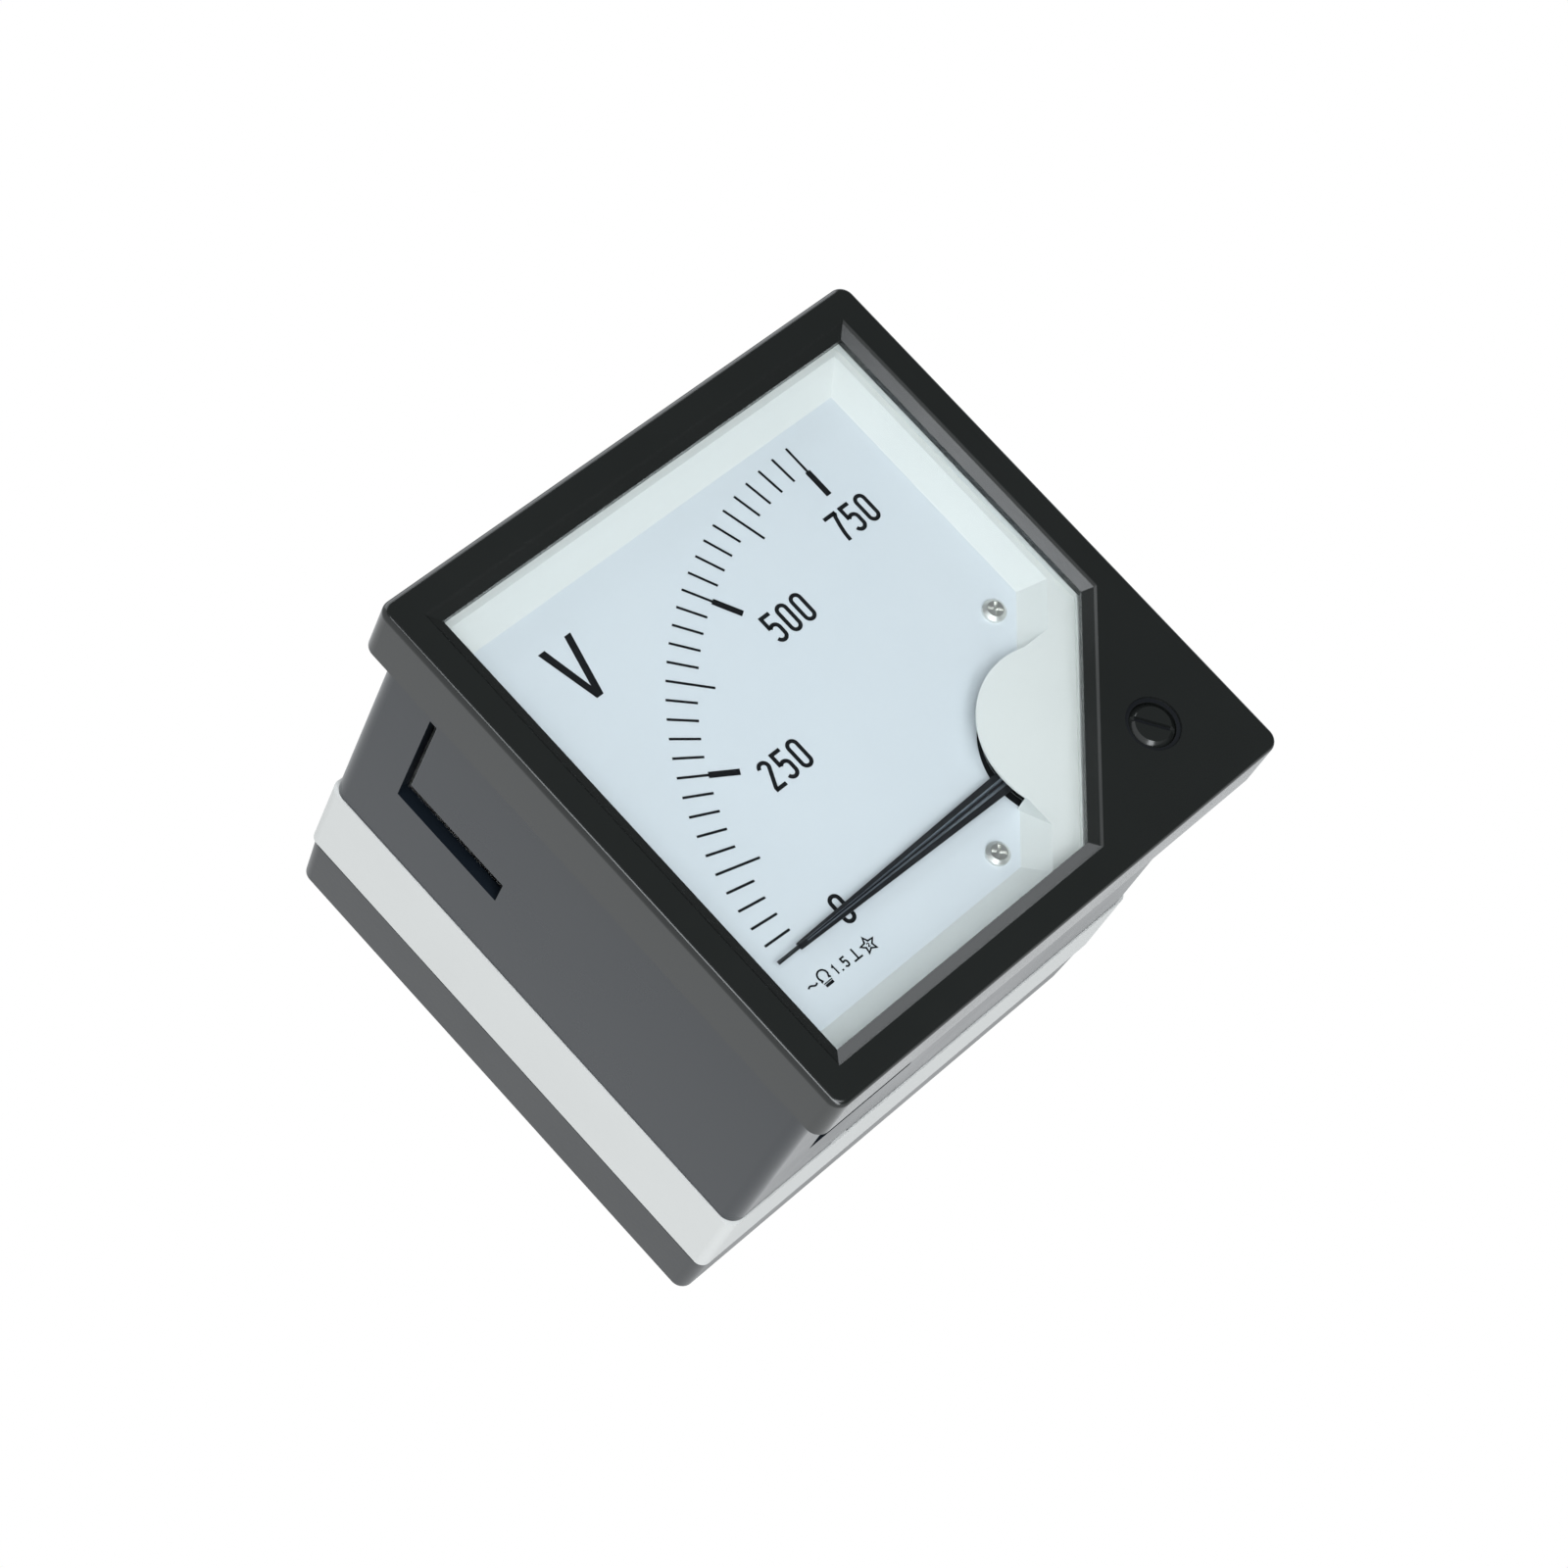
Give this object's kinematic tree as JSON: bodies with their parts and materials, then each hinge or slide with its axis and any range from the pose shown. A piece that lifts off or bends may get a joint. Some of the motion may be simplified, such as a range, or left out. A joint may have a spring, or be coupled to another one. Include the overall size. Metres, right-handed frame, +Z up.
{
  "type": "analog panel meter",
  "caption": "Square analog voltmeter for panel mounting, with a quadrant scale, a corner pivot and rear studs.",
  "frame": {"origin": "centre of the panel seat, the plane of the bezel's rear edge", "axes": "+Y into the panel, away from the face; +Z up; +X to the right of the face"},
  "size_m": [0.08, 0.0841, 0.08],
  "materials": {
    "black_plastic": "moulded, satin black",
    "clear_plastic": "clear, polished",
    "white_plastic": "moulded, satin white",
    "dial_paint": "matt paint on sheet",
    "plated_steel": "zinc plated",
    "satin_black_plastic": "moulded, satin",
    "pale_plastic": "moulded, fine grain",
    "grained_black_plastic": "moulded, fine grain",
    "brass": "turned and stamped",
    "bright_steel": "ground",
    "bronze_strip": "rolled strip",
    "bare_aluminium": "bare sheet",
    "enamelled_copper": "enamelled wire",
    "cast_magnet": "cast and ground",
    "plated_iron": "zinc plated",
    "inner_plastic": "moulded",
    "pointer_paint": "satin black on aluminium",
    "board_laminate": "glass laminate",
    "resistor_enamel": "enamel"
  },
  "bodies": {
    "housing": {"bezel_frame": "black_plastic", "window_pane": "clear_plastic", "dial_surround": "white_plastic", "dial_plate": "dial_paint", "dial_screws": "plated_steel", "case": "satin_black_plastic", "base_ring": "pale_plastic", "rear_cover": "grained_black_plastic", "cover_screws": "plated_steel", "carrier_screws": "plated_steel", "front_bridge": "brass", "front_jewel_screw": "brass", "front_bridge_screws": "plated_steel", "front_hairspring": "bronze_strip", "core_magnet": "cast_magnet", "core_bar": "bare_aluminium", "yoke_ring": "plated_iron", "rear_hairspring": "bronze_strip", "rear_bridge": "brass", "rear_jewel_screw": "brass", "rear_bridge_screws": "plated_steel", "movement_carrier": "inner_plastic", "terminal_studs": "brass", "stud_washers": "plated_steel", "spring_washers": "plated_steel", "stud_nuts": "brass", "terminal_strips": "brass", "circuit_board": "board_laminate", "board_screws": "plated_steel", "series_resistors": "resistor_enamel", "rectifier_diodes": "black_plastic"},
    "movement": {"pointer": "pointer_paint", "front_spindle": "bright_steel", "balance_weights": "brass", "coil_former": "bare_aluminium", "coil_winding": "enamelled_copper", "rear_spindle": "bright_steel"},
    "zero_adjuster": {"zero_adjuster_screw": "black_plastic"},
    "zero_link": {"zero_lever": "brass"}
  },
  "joints": [
    {"name": "pointer_swing", "type": "hinge", "parent": "housing", "child": "movement", "pos_m": [0.02115, 0, -0.02146], "axis": [0, 1, 0], "range_deg": [-2, 92], "stiffness_Nm_per_rad": 0.0003, "deforming": ["front_hairspring", "rear_hairspring"]},
    {"name": "zero_adjuster_turn", "type": "hinge", "parent": "housing", "child": "zero_adjuster", "pos_m": [0.0279, 0, -0.0283], "axis": [0, 1, 0], "range_deg": [-45, 45]},
    {"name": "zero_lever_swing", "type": "hinge", "parent": "housing", "child": "zero_link", "pos_m": [0.02115, 0, -0.02146], "axis": [0, 1, 0], "range_deg": [-5, 5]}
  ],
  "couplings": [
    {"joint": "zero_lever_swing", "follows": "zero_adjuster_turn", "ratio": -0.085}
  ]
}
